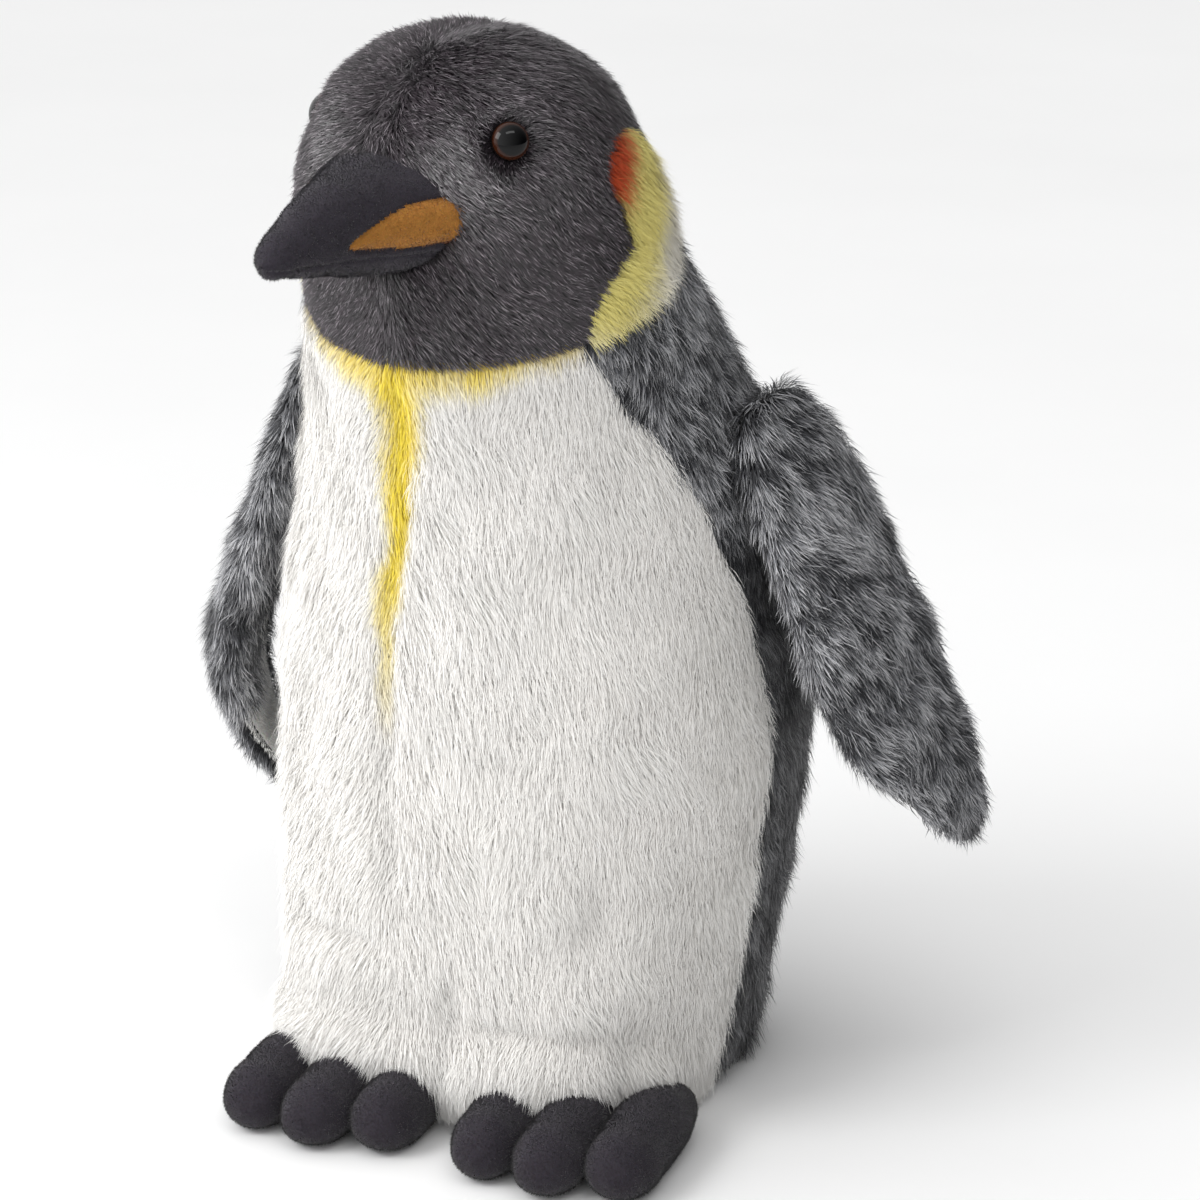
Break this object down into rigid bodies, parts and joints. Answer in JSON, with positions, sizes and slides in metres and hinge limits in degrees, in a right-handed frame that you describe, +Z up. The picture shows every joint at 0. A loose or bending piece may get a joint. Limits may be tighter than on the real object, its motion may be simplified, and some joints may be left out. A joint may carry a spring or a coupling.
{
  "type": "plush penguin",
  "caption": "Standing plush penguin with a turning head, hinged flippers and toes, padded beak, safety eyes and a weighted flat base.",
  "frame": {"origin": "on the floor, under the middle of the flat base", "axes": "+Z up; the penguin faces -Y and its own left side is +X"},
  "size_m": [0.3029, 0.2539, 0.4],
  "materials": {
    "white_plush": "long soft pile, matt",
    "grey_plush": "long frosted pile, dark roots and light tips",
    "black_plush": "short dense pile with a slight shine",
    "ear_plush": "soft pile, airbrushed orange-red to yellow to cream",
    "black_fleece": "short matt fleece",
    "orange_fleece": "short matt fleece",
    "white_velour": "smooth velour",
    "polyester_fibre": "loose fibre filling",
    "eye_plastic": "polished dome",
    "washer_plastic": "moulded",
    "base_fabric": "plain woven",
    "board": "pressed sheet",
    "pellet_bag": "woven bag of plastic pellets"
  },
  "bodies": {
    "torso": {"belly_left": "white_plush", "belly_right": "white_plush", "back_left": "grey_plush", "back_right": "grey_plush", "base_panel": "base_fabric", "base_board": "board", "pellet_bag": "pellet_bag", "body_stuffing": "polyester_fibre"},
    "head": {"hood_left": "black_plush", "ear_patch_left": "ear_plush", "eye_left": "eye_plastic", "eye_washer_left": "washer_plastic", "hood_right": "black_plush", "ear_patch_right": "ear_plush", "eye_right": "eye_plastic", "eye_washer_right": "washer_plastic", "head_stuffing": "polyester_fibre", "beak_upper_cover": "black_fleece", "beak_lower_cover": "black_fleece", "beak_patch_left": "orange_fleece", "beak_patch_right": "orange_fleece", "beak_filling": "polyester_fibre"},
    "flipper_left": {"flipper_left_cover": "grey_plush", "flipper_left_lining": "white_velour", "flipper_left_filling": "polyester_fibre"},
    "flipper_right": {"flipper_right_cover": "grey_plush", "flipper_right_lining": "white_velour", "flipper_right_filling": "polyester_fibre"},
    "foot_left": {"left_toe_right_cover": "black_fleece", "left_toe_right_filling": "polyester_fibre", "left_toe_middle_cover": "black_fleece", "left_toe_middle_filling": "polyester_fibre", "left_toe_left_cover": "black_fleece", "left_toe_left_filling": "polyester_fibre"},
    "foot_right": {"right_toe_right_cover": "black_fleece", "right_toe_right_filling": "polyester_fibre", "right_toe_middle_cover": "black_fleece", "right_toe_middle_filling": "polyester_fibre", "right_toe_left_cover": "black_fleece", "right_toe_left_filling": "polyester_fibre"}
  },
  "joints": [
    {"name": "neck_turn", "type": "hinge", "parent": "torso", "child": "head", "pos_m": [-0.00344, -0.02173, 0.31037], "axis": [-0.047, -0.297, 0.9537], "range_deg": [-30, 30], "stiffness_Nm_per_rad": 1.2},
    {"name": "flipper_left_lift", "type": "hinge", "parent": "torso", "child": "flipper_left", "pos_m": [0.0887, 0.007, 0.267], "axis": [-0.1929, -0.9626, -0.1905], "range_deg": [-8, 65], "stiffness_Nm_per_rad": 0.25},
    {"name": "flipper_right_lift", "type": "hinge", "parent": "torso", "child": "flipper_right", "pos_m": [-0.092, 0.016, 0.262], "axis": [-0.0016, 0.9998, -0.0201], "range_deg": [-2, 75], "stiffness_Nm_per_rad": 0.25},
    {"name": "foot_left_bend", "type": "hinge", "parent": "torso", "child": "foot_left", "pos_m": [0.054, -0.064, 0.012], "axis": [-0.9945, -0.1045, 0], "range_deg": [-20, 12], "stiffness_Nm_per_rad": 0.5},
    {"name": "foot_right_bend", "type": "hinge", "parent": "torso", "child": "foot_right", "pos_m": [-0.038, -0.064, 0.012], "axis": [-0.9976, -0.0698, 0], "range_deg": [-20, 12], "stiffness_Nm_per_rad": 0.5}
  ]
}
